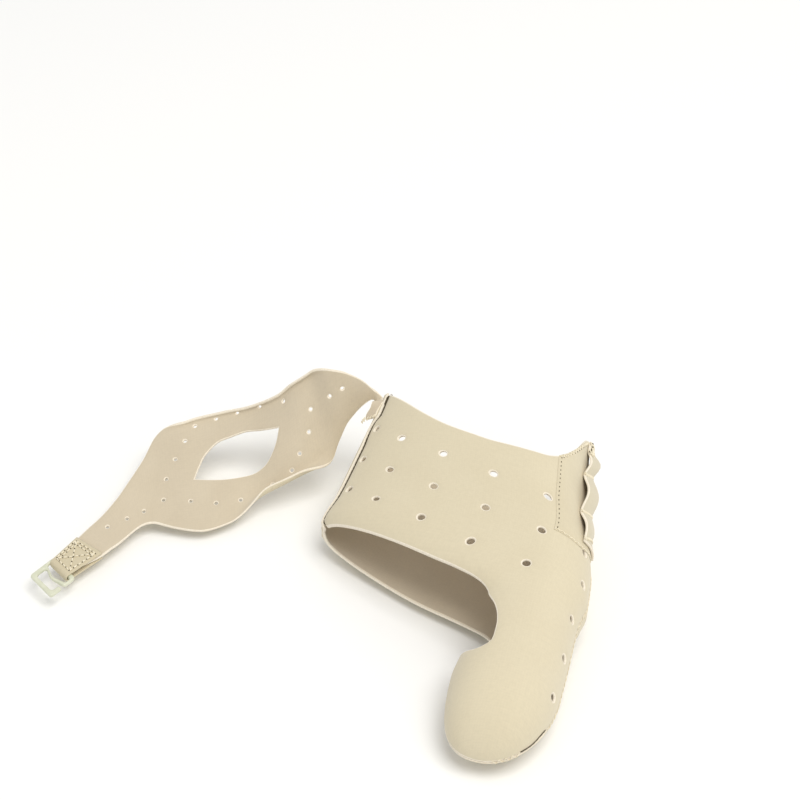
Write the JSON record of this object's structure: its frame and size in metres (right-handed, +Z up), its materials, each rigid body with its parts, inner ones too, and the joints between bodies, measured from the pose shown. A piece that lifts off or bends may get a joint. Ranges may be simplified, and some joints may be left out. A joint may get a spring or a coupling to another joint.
{
  "type": "bunion corrector",
  "caption": "Soft perforated forefoot band with a closed big-toe sheath, hook loops on the toe side and a spread heel strap ending in a folded tab and flat hook.",
  "frame": {"origin": "middle of the band's tunnel at the ball of the foot", "axes": "+Z up from the sole, -Y towards the toes, +X towards the big toe's side"},
  "size_m": [0.1664, 0.1233, 0.0409],
  "materials": {
    "upper_panel": "cream stretch laminate",
    "sole_panel": "cream stretch laminate",
    "loop_patch": "cream stretch laminate",
    "loop_strip": "cream stretch laminate",
    "heel_strap": "beige lining face of the laminate",
    "strap_tab": "woven tab",
    "hook": "cream coating"
  },
  "bodies": {
    "root": {"upper_panel": "upper_panel", "sole_panel": "sole_panel", "loop_patch": "loop_patch", "loop_strip": "loop_strip", "heel_strap": "heel_strap", "strap_tab": "strap_tab", "hook": "hook"}
  },
  "joints": []
}
